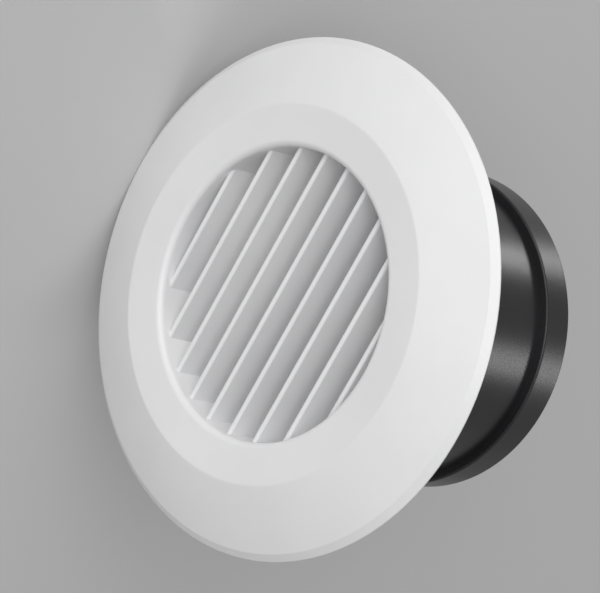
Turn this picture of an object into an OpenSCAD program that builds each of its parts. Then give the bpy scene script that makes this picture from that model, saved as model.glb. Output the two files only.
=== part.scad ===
// Round wall ventilation grille: a white louvred face, moulded in one piece with its
// flange and sleeve, that snaps into a black duct collar over an insect screen.
// The axis lies along Y, the face looks along -Y, the louvre blades run along X and
// +Z is up. The origin is on the axis in the wall plane, where the flange rim rests.

/* [Flange] */
// Outside diameter of the flange
flange_d = 150; // [132:1:180]
// Diameter of the crease between the domed flange and the dished ring
crease_d = 108.6; // [102:0.2:118]
// Height of the crease in front of the wall
crease_h = 8.8; // [8:0.1:11]
// Rounding of the crease
crease_round = 2.5; // [1:0.5:5]
// Radius of the dome's curve from the crease out to the rim
dome_r = 180; // [90:5:400]
// Height of the rim's front edge in front of the wall
rim_h = 2.3; // [1.8:0.1:3.5]
// Rounding of the rim's front edge
edge_round = 0.5; // [0.3:0.1:1]
// Width of the bevel from the rim's front edge out to its side
bevel_w = 2; // [1:0.1:3]
// Height of the rim's side below the bevel
side_h = 0.6; // [0.5:0.1:1]
// Rounding where the rim's side meets the wall
foot_round = 0.3; // [0.1:0.1:0.4]
// Width of the rim's foot, where it rests on the wall
rim_foot = 2.6; // [2:0.1:3.5]
// Wall thickness of the flange shell
shell = 2; // [1.6:0.1:2.2]

/* [Sleeve] */
// Inside diameter of the sleeve that holds the blades
bore_d = 84.4; // [76:0.2:90]
// Depth that the ring falls from the crease to the lip
ring_dish = 1.1; // [0.4:0.1:2]
// Rounding of the lip where the ring turns into the sleeve
lip_round = 2; // [1:0.1:3]
// Wall thickness of the sleeve
sleeve_wall = 2; // [1.6:0.1:2.6]
// Reach of the sleeve behind the wall plane
sleeve_reach = 13; // [12:0.5:20]

/* [Louvre] */
// Number of blades
blade_count = 9; // [5:2:11]
// Distance from one blade to the next
blade_pitch = 9.44; // [7:0.02:10]
// Thickness of a blade at its round nose
nose_t = 1.6; // [1.3:0.1:2.4]
// Thickness of a blade at its rear edge
tail_t = 1.2; // [1:0.1:1.6]
// Depth of a blade from its nose to its rear edge
blade_depth = 14; // [11:0.5:15]
// Rise of a blade from its nose to the rear, in degrees
blade_rise = 2; // [0:1:20]
// Height of the blade noses in front of the wall
nose_h = 4.3; // [3:0.1:5]

/* [Ribs and snaps] */
// Number of ribs behind the flange
rib_count = 12; // [6:1:16]
// Thickness of a rib
rib_t = 1.5; // [1:0.1:2]
// Gap between the ribs' outer ends and the inside of the rim's foot
rib_end_gap = 6.5; // [6:0.5:12]
// Gap between the ribs' rear edges and the wall plane
rib_rear_gap = 1.2; // [0.6:0.1:2]
// Number of snap beads round the sleeve
snap_count = 4; // [3:1:6]
// Angle that each snap bead spans
snap_span = 38; // [20:1:50]
// Height of a snap bead above the sleeve
snap_h = 0.6; // [0.4:0.05:0.8]
// Width of a snap bead at its foot
snap_w = 1.8; // [1.2:0.1:2.4]
// Distance from the sleeve's rear end to the middle of the beads
snap_back = 3.2; // [2.5:0.1:5]

/* [Collar] */
// Wall thickness of the collar
collar_wall = 2; // [1.6:0.1:2.6]
// Reach of the collar behind the wall plane
collar_reach = 70.6; // [50:0.2:110]
// Outside diameter of the band round the collar's rear end
band_d = 97.6; // [96:0.2:99]
// Length of the band
band_len = 11.2; // [8:0.2:16]
// Rounding of the band's edges
band_round = 0.7; // [0.3:0.1:1.2]
// Diameter of the locating flange at the collar's front
seat_d = 104; // [99:0.5:110]
// Thickness of the locating flange
seat_t = 2; // [1.4:0.1:2.6]
// Height of the collar's front face in front of the wall
seat_h = 2.8; // [2.4:0.1:3]
// Radial height of the inner ledge that carries the screen
ledge_w = 2.6; // [1.8:0.1:3.5]
// Thickness of the inner ledge
ledge_t = 1.8; // [1.2:0.1:3]

/* [Screen] */
// Thickness of the screen's frame
frame_t = 2.4; // [2:0.1:4]
// Radial width of the screen's frame
frame_w = 3.2; // [2.4:0.1:5]
// Thickness of the mesh
mesh_t = 0.6; // [0.4:0.1:0.8]
// Depth that the mesh is held in the frame
mesh_hold = 1.4; // [0.8:0.1:1.8]
// Distance from one mesh bar to the next
mesh_pitch = 8; // [7.6:0.1:12]
// Width of a mesh bar
mesh_bar = 0.9; // [0.6:0.1:1.5]

/* [Fits] */
// Radial clearance between the sleeve and the collar
slip_gap = 0.15; // [0.1:0.05:0.3]
// Clearance round a snap bead in its groove
snap_gap = 0.2; // [0.1:0.05:0.3]
// Radial clearance round the screen's frame and round the mesh in it
frame_gap = 0.2; // [0.1:0.05:0.4]

/* [Hidden] */
$fn = 180;

flange_r = flange_d / 2;
crease_r = crease_d / 2;
bore_r = bore_d / 2;
sleeve_r = bore_r + sleeve_wall;
collar_in_r = sleeve_r + slip_gap;
collar_r = collar_in_r + collar_wall;
band_r = band_d / 2;
// Overlap where one form of a moulding grows out of another
root = 0.4;
// Facets along each long curve of a section, along each small rounding, and round
// each edge of a blade
steps = 14;
small_steps = 5;
edge_steps = 10;

// Slope of the dished ring, heights on it, and its directions in the section
ring_slope = atan(ring_dish / (crease_r - bore_r));
function ring_h(r) = crease_h - (crease_r - r) * tan(ring_slope);
ring_inward = -[cos(ring_slope), sin(ring_slope)];
ring_out = [-sin(ring_slope), cos(ring_slope)];

// The bevel round the rim, down from the front edge
edge_at = [flange_r - bevel_w, rim_h];
bevel_down = [bevel_w, side_h - rim_h] / norm([bevel_w, side_h - rim_h]);
bevel_out = [-bevel_down[1], bevel_down[0]];

// The dome runs from the crease to the rim's front edge on one arc
crease_at = [crease_r, crease_h];
span = edge_at - crease_at;
dome_c = (crease_at + edge_at) / 2
    + sqrt(dome_r * dome_r / (span * span) - 1 / 4) * [span[1], -span[0]];

function arc(c, r, from, to, n = steps) =
    [for (i = [0 : n]) let (a = from + (to - from) * i / n) c + r * [cos(a), sin(a)]];
function turn_to(from, to) = atan2(to[1] - from[1], to[0] - from[0]);

// Centre of a rounding of radius q where the dome meets a straight line at a corner;
// the line leaves the dome along `away`, and `out` is the direction out of the shell
function rounding_c(at, q, away, out) =
    let (start = at - q * out, v = start - dome_c, k = v * away)
    start - away * (k + sqrt(k * k - v * v + (dome_r - q) * (dome_r - q)));
crease_c = rounding_c(crease_at, crease_round, ring_inward, ring_out);
edge_c = rounding_c(edge_at, edge_round, bevel_down, bevel_out);
dome_from = turn_to(dome_c, crease_c);
dome_to = turn_to(dome_c, edge_c);

// Underside of the dome at a radius
function under_h(r) = dome_c[1] + sqrt(pow(dome_r - shell, 2) - pow(r - dome_c[0], 2));
function under_line(from, to, lift = 0, n = steps) =
    [for (i = [0 : n]) let (r = from + (to - from) * i / n) [r, under_h(r) + lift]];

rim_in_r = flange_r - rim_foot;
lip_c = [bore_r + lip_round, ring_h(bore_r + lip_round) - lip_round / cos(ring_slope)];

// Collar stations along the axis, measured forward from the wall
snap_z = snap_back - sleeve_reach;
ledge_z = -sleeve_reach - frame_t - frame_gap;
band_z = band_len - collar_reach;
screen_r = collar_in_r - frame_gap;
mesh_r = screen_r - frame_w + mesh_hold;
mesh_z = -sleeve_reach - frame_t / 2 - frame_gap / 2;

// Turns a form built forward along +Z so that it looks along -Y
module face_forward() {
    rotate([90, 0, 0]) children();
}

// Section of the flange, ring and sleeve, as radius and height in front of the wall
module shell_section() {
    polygon(concat(
        [[bore_r, -sleeve_reach]],
        arc(lip_c, lip_round, 180, 90 + ring_slope),
        arc(crease_c, crease_round, 90 + ring_slope, dome_from, small_steps),
        arc(dome_c, dome_r, dome_from, dome_to),
        arc(edge_c, edge_round, dome_to, turn_to([0, 0], bevel_out), small_steps),
        [[flange_r, side_h]],
        arc([flange_r - foot_round, foot_round], foot_round, 0, -90, small_steps),
        [[rim_in_r, 0]],
        under_line(rim_in_r, crease_r),
        [[sleeve_r, ring_h(sleeve_r) - shell], [sleeve_r, -sleeve_reach]]
    ));
}

// Section of a louvre blade, round at both edges, with the middle of its nose at the
// origin: x is the distance upwards and y the height in front of the wall
module blade_section() {
    nose_r = nose_t / 2;
    tail_r = tail_t / 2;
    reach = blade_depth - nose_r - tail_r;
    taper = asin((nose_r - tail_r) / reach);
    rotate(blade_rise - 90)
        polygon(concat(
            arc([0, 0], nose_r, 90 - taper, 270 + taper, edge_steps),
            arc([reach, 0], tail_r, taper - 90, 90 - taper, edge_steps)
        ));
}

// The blades, each cut to the bore with its ends rooted in the sleeve wall
module blades() {
    for (i = [0 : blade_count - 1])
        intersection() {
            translate([0, blade_pitch * (i - (blade_count - 1) / 2), nose_h - nose_t / 2])
                rotate([90, 0, 90])
                    linear_extrude(2 * sleeve_r, center = true) blade_section();
            translate([0, 0, -sleeve_reach])
                cylinder(r = bore_r + root, h = sleeve_reach + crease_h);
        }
}

// Rib behind the flange, stepped down where the collar's front face seats on it
module rib() {
    seat_r = seat_d / 2 + frame_gap;
    rotate([90, 0, 0])
        linear_extrude(rib_t, center = true)
            polygon(concat(
                [[sleeve_r - root, seat_h], [seat_r, seat_h], [seat_r, rib_rear_gap]],
                [[rim_in_r - rib_end_gap, rib_rear_gap]],
                under_line(rim_in_r - rib_end_gap, crease_r, root),
                [[sleeve_r - root, ring_h(sleeve_r - root) - shell + root]]
            ));
}

// Snap bead, a low ridge with a slope towards each side
module snap_bead() {
    rotate([0, 0, -snap_span / 2])
        rotate_extrude(angle = snap_span)
            polygon([
                [sleeve_r - root, snap_z - snap_w / 2],
                [sleeve_r, snap_z - snap_w / 2],
                [sleeve_r + snap_h, snap_z - snap_w / 8],
                [sleeve_r + snap_h, snap_z + snap_w / 8],
                [sleeve_r, snap_z + snap_w / 2],
                [sleeve_r - root, snap_z + snap_w / 2]
            ]);
}

module face_grille() {
    color("white") face_forward() {
        rotate_extrude() shell_section();
        blades();
        for (i = [0 : rib_count - 1]) rotate([0, 0, i * 360 / rib_count]) rib();
        for (i = [0 : snap_count - 1])
            rotate([0, 0, (i + 0.5) * 360 / snap_count]) snap_bead();
    }
}

// Section of the collar: front locating flange, tube, and the band at the rear end
module collar_section() {
    lead_in = collar_wall / 3;
    step_in_r = band_r - collar_wall;
    polygon(concat(
        [[collar_in_r + lead_in, seat_h], [collar_in_r, seat_h - lead_in]],
        [[collar_in_r, ledge_z], [collar_in_r - ledge_w, ledge_z]],
        [[collar_in_r - ledge_w, ledge_z - ledge_t], [collar_in_r, ledge_z - ledge_t]],
        [[collar_in_r, band_z - collar_wall / 2], [step_in_r, band_z - collar_wall]],
        [[step_in_r, -collar_reach]],
        arc([band_r - band_round, band_round - collar_reach], band_round, -90, 0, small_steps),
        arc([band_r - band_round, band_z - band_round], band_round, 0, 90, small_steps),
        [[collar_r, band_z], [collar_r, seat_h - seat_t]],
        [[seat_d / 2, seat_h - seat_t], [seat_d / 2, seat_h]]
    ));
}

module duct_collar() {
    color("#1c1c1e") face_forward()
        rotate_extrude()
            difference() {
                collar_section();
                translate([collar_in_r - root, snap_z - snap_w / 2 - snap_gap])
                    square([root + snap_h + snap_gap, snap_w + 2 * snap_gap]);
            }
}

module screen_frame() {
    color("dimgray") face_forward()
        rotate_extrude()
            difference() {
                translate([screen_r - frame_w, mesh_z - frame_t / 2])
                    square([frame_w, frame_t]);
                translate([screen_r - frame_w - root, mesh_z - mesh_t / 2])
                    square([mesh_hold + frame_gap + root, mesh_t]);
            }
}

module screen_mesh() {
    bars = floor(mesh_r / mesh_pitch);
    color("silver") face_forward()
        translate([0, 0, mesh_z - mesh_t / 2])
            linear_extrude(mesh_t) {
                intersection() {
                    circle(mesh_r);
                    for (i = [-bars : bars], turn = [0, 90])
                        rotate(turn)
                            translate([i * mesh_pitch - mesh_bar / 2, -mesh_r])
                                square([mesh_bar, 2 * mesh_r]);
                }
                difference() {
                    circle(mesh_r);
                    circle(mesh_r - mesh_hold);
                }
            }
}

face_grille();
duct_collar();
screen_frame();
screen_mesh();
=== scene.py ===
import bpy
import math
from mathutils import Matrix, Vector

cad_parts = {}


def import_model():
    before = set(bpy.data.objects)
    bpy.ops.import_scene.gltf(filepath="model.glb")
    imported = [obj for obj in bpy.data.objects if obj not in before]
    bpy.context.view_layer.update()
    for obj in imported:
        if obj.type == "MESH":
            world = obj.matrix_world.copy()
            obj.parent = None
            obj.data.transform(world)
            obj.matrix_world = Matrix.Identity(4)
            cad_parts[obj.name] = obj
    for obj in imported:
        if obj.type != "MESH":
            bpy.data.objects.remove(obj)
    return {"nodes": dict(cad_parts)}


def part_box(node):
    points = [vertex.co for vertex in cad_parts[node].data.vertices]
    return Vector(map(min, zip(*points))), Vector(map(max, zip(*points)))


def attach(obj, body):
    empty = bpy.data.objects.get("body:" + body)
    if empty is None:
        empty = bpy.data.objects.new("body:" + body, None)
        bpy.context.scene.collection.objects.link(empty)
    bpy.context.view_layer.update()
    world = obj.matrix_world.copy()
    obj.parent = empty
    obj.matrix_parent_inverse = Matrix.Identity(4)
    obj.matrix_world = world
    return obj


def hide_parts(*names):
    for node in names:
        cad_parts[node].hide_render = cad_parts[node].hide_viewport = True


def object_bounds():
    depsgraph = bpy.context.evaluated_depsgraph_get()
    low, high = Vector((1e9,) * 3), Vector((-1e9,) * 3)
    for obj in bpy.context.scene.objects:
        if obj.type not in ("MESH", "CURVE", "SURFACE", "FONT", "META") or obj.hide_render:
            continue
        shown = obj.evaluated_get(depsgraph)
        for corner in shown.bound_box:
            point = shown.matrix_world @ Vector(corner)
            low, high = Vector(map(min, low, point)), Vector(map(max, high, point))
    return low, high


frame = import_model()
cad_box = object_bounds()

scene = bpy.context.scene
MM = 0.001

# Camera, at the photograph's perspective: it looks down on the face from the left of the
# axis and is rolled, so that the blades run steeply across the picture.
CAMERA_PLACE = (-0.1725, -0.4907, 0.4040)
CAMERA_RIGHT = (-0.474, 0.649, 0.595)
CAMERA_BACK = (-0.259, -0.749, 0.610)
LENS_MM = 139.1
SENSOR_MM = 36.0

# Insect screen, woven in both directions
WEAVE_PITCH = 1.7 * MM
WIRE_R = 0.17 * MM
WIRE_SIDES = 6
WEAVE_TOUCH = 1.02
RIM_GAP = 0.4 * MM

# Floor and backdrop
FLOOR_HALF = 6.0
FLOOR_DROP = 0.2 * MM
FLOOR_GREY = 0.62
BACKDROP_GREY = 0.72
SKY = 0.35

# Each lamp's name, place, side in metres and power in watts; all look at LAMP_TARGET
LAMP_TARGET = (0.0, 0.02, 0.0)
LAMPS = [
    ("key", (-1.10, -0.75, 0.28), 0.9, 6.0),
    ("front", (-0.45, -1.05, 0.80), 1.0, 8.7),
    ("rim", (-0.80, 0.95, 0.02), 0.3, 1.8),
    ("strip", (-0.15, 1.15, 0.90), 0.3, 1.8),
]


def camera():
    data = bpy.data.cameras.new("camera")
    data.sensor_fit = "HORIZONTAL"
    data.sensor_width = SENSOR_MM
    data.lens = LENS_MM
    data.clip_start = 0.01
    data.clip_end = 20.0
    obj = bpy.data.objects.new("camera", data)
    back = Vector(CAMERA_BACK).normalized()
    up = back.cross(Vector(CAMERA_RIGHT)).normalized()
    right = up.cross(back)
    turn = Matrix((right, up, back)).transposed().to_4x4()
    obj.matrix_world = Matrix.Translation(CAMERA_PLACE) @ turn
    scene.collection.objects.link(obj)
    scene.camera = obj


camera()


# Node helpers
def new_material(name):
    mat = bpy.data.materials.new(name)
    mat.use_nodes = True
    nodes = mat.node_tree.nodes
    return mat, nodes, mat.node_tree.links, nodes["Principled BSDF"]


def noise(nodes, links, coords, scale, detail, rough):
    n = nodes.new("ShaderNodeTexNoise")
    n.inputs["Scale"].default_value = scale
    n.inputs["Detail"].default_value = detail
    n.inputs["Roughness"].default_value = rough
    links.new(coords, n.inputs["Vector"])
    return n.outputs["Fac"]


# Spreads the middle of a noise, where most of its values lie, over a range
def ranged(nodes, links, value, low, high):
    m = nodes.new("ShaderNodeMapRange")
    m.inputs["From Min"].default_value = 0.3
    m.inputs["From Max"].default_value = 0.7
    m.inputs["To Min"].default_value = low
    m.inputs["To Max"].default_value = high
    links.new(value, m.inputs["Value"])
    return m.outputs["Result"]


def blend_colour(nodes, links, factor, a, b):
    m = nodes.new("ShaderNodeMix")
    m.data_type = "RGBA"
    m.inputs["A"].default_value = (*a, 1.0)
    m.inputs["B"].default_value = (*b, 1.0)
    links.new(factor, m.inputs["Factor"])
    return m.outputs["Result"]


def bump(nodes, links, height, depth, normal=None):
    b = nodes.new("ShaderNodeBump")
    b.inputs["Distance"].default_value = depth
    b.inputs["Strength"].default_value = 1.0
    links.new(height, b.inputs["Height"])
    if normal is not None:
        links.new(normal, b.inputs["Normal"])
    return b.outputs["Normal"]


# Moulded plastic: a fine spark-eroded grain from the mould, faint waviness from cooling,
# and a colour that varies very slightly with the flow of the melt.
def moulded(name, dark, pale, rough, grain_size, grain_depth, wave_depth):
    mat, nodes, links, bsdf = new_material(name)
    coords = nodes.new("ShaderNodeTexCoord").outputs["Object"]
    flow = noise(nodes, links, coords, 28.0, 3.0, 0.55)
    grain = noise(nodes, links, coords, 1.0 / grain_size, 2.0, 0.6)
    wave = noise(nodes, links, coords, 45.0, 1.0, 0.4)
    colour = blend_colour(nodes, links, ranged(nodes, links, flow, 0.0, 1.0), dark, pale)
    links.new(colour, bsdf.inputs["Base Color"])
    links.new(ranged(nodes, links, grain, *rough), bsdf.inputs["Roughness"])
    waved = bump(nodes, links, wave, wave_depth)
    links.new(bump(nodes, links, grain, grain_depth, waved), bsdf.inputs["Normal"])
    bsdf.inputs["IOR"].default_value = 1.5
    return mat


# Drawn stainless wire: fine lines of the drawing die and a faint tint.
def drawn_wire():
    mat, nodes, links, bsdf = new_material("steel_wire")
    coords = nodes.new("ShaderNodeTexCoord").outputs["Object"]
    tint = noise(nodes, links, coords, 400.0, 3.0, 0.6)
    lines = noise(nodes, links, coords, 9000.0, 2.0, 0.5)
    colour = blend_colour(nodes, links, ranged(nodes, links, tint, 0.0, 1.0),
                          (0.46, 0.46, 0.47), (0.62, 0.62, 0.63))
    links.new(colour, bsdf.inputs["Base Color"])
    links.new(ranged(nodes, links, lines, 0.28, 0.42), bsdf.inputs["Roughness"])
    links.new(bump(nodes, links, lines, 0.01 * MM), bsdf.inputs["Normal"])
    bsdf.inputs["Metallic"].default_value = 1.0
    return mat


white = moulded("white_abs", (0.80, 0.80, 0.81), (0.84, 0.84, 0.845),
                (0.34, 0.44), 0.35 * MM, 0.004 * MM, 0.03 * MM)
black = moulded("black_abs", (0.010, 0.010, 0.011), (0.016, 0.016, 0.018),
                (0.26, 0.36), 0.30 * MM, 0.004 * MM, 0.02 * MM)
grey = moulded("grey_nylon", (0.16, 0.16, 0.165), (0.22, 0.22, 0.225),
               (0.50, 0.62), 0.40 * MM, 0.008 * MM, 0.02 * MM)
wire = drawn_wire()


def dress(node, mat):
    obj = frame["nodes"][node]
    obj.data.materials.clear()
    obj.data.materials.append(mat)


dress("face_grille", white)
dress("duct_collar", black)
dress("screen_frame", grey)
dress("screen_mesh", wire)


# Insect screen: plain-woven wire in both directions, cut to a disc that ends inside the
# groove of its frame.
def woven_screen():
    low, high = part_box("screen_mesh")
    radius = (high[0] - low[0]) / 2 - RIM_GAP
    mid_y = (low[1] + high[1]) / 2
    count = int(radius / WEAVE_PITCH)
    verts, faces = [], []
    for along in (0, 2):
        across = 2 - along
        for i in range(-count, count + 1):
            offset = (i + 0.5) * WEAVE_PITCH
            if abs(offset) > radius - WIRE_R:
                continue
            half = math.sqrt(radius ** 2 - offset ** 2)
            steps = max(2, int(2 * half / (WEAVE_PITCH / 2)))
            over = (i % 2 == 1) == (along == 0)
            lift = (1 if over else -1) * WIRE_R * WEAVE_TOUCH
            first = len(verts)
            for s in range(steps + 1):
                t = -half + 2 * half * s / steps
                weave = lift * math.sin(math.pi * t / WEAVE_PITCH)
                for k in range(WIRE_SIDES):
                    a = 2 * math.pi * k / WIRE_SIDES
                    p = [0.0, mid_y + weave + WIRE_R * math.sin(a), 0.0]
                    p[along] = t
                    p[across] = offset + WIRE_R * math.cos(a)
                    verts.append(p)
            for s in range(steps):
                for k in range(WIRE_SIDES):
                    a = first + s * WIRE_SIDES + k
                    b = first + s * WIRE_SIDES + (k + 1) % WIRE_SIDES
                    faces.append((a, b, b + WIRE_SIDES, a + WIRE_SIDES) if along == 0
                                 else (a, a + WIRE_SIDES, b + WIRE_SIDES, b))
            last = first + steps * WIRE_SIDES
            faces.append(tuple(first + k for k in range(WIRE_SIDES)))
            faces.append(tuple(last + k for k in range(WIRE_SIDES)))
    mesh = bpy.data.meshes.new("woven_screen")
    mesh.from_pydata(verts, [], faces)
    mesh.validate()
    for p in mesh.polygons:
        p.use_smooth = True
    mesh.materials.append(wire)
    obj = bpy.data.objects.new("woven_screen", mesh)
    scene.collection.objects.link(obj)
    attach(obj, "root")
    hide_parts("screen_mesh")


woven_screen()


# Floor and light
def floor():
    z = cad_box[0][2] - FLOOR_DROP
    size = FLOOR_HALF
    mesh = bpy.data.meshes.new("floor")
    mesh.from_pydata([(-size, -size, z), (size, -size, z), (size, size, z), (-size, size, z)],
                     [], [(0, 1, 2, 3)])
    mat, nodes, links, bsdf = new_material("floor")
    bsdf.inputs["Base Color"].default_value = (FLOOR_GREY, FLOOR_GREY, FLOOR_GREY, 1.0)
    bsdf.inputs["Roughness"].default_value = 0.9
    mesh.materials.append(mat)
    obj = bpy.data.objects.new("floor", mesh)
    scene.collection.objects.link(obj)


def lamp(name, place, side, power):
    data = bpy.data.lights.new(name, "AREA")
    data.shape = "SQUARE"
    data.size = side
    data.energy = power
    obj = bpy.data.objects.new(name, data)
    aim = Vector(LAMP_TARGET) - Vector(place)
    turn = aim.to_track_quat("-Z", "Y").to_matrix().to_4x4()
    obj.matrix_world = Matrix.Translation(place) @ turn
    scene.collection.objects.link(obj)


# Even light from all round; what the camera itself sees of it is the backdrop
def world():
    w = bpy.data.worlds.new("studio")
    scene.world = w
    w.use_nodes = True
    nodes, links = w.node_tree.nodes, w.node_tree.links
    nodes.clear()
    out = nodes.new("ShaderNodeOutputWorld")
    soft = nodes.new("ShaderNodeBackground")
    soft.inputs["Color"].default_value = (1.0, 1.0, 1.0, 1.0)
    soft.inputs["Strength"].default_value = SKY
    seen = nodes.new("ShaderNodeBackground")
    seen.inputs["Color"].default_value = (BACKDROP_GREY, BACKDROP_GREY, BACKDROP_GREY, 1.0)
    path = nodes.new("ShaderNodeLightPath")
    mix = nodes.new("ShaderNodeMixShader")
    links.new(path.outputs["Is Camera Ray"], mix.inputs["Fac"])
    links.new(soft.outputs["Background"], mix.inputs[1])
    links.new(seen.outputs["Background"], mix.inputs[2])
    links.new(mix.outputs["Shader"], out.inputs["Surface"])


floor()
for args in LAMPS:
    lamp(*args)
world()

scene.view_settings.view_transform = "Standard"
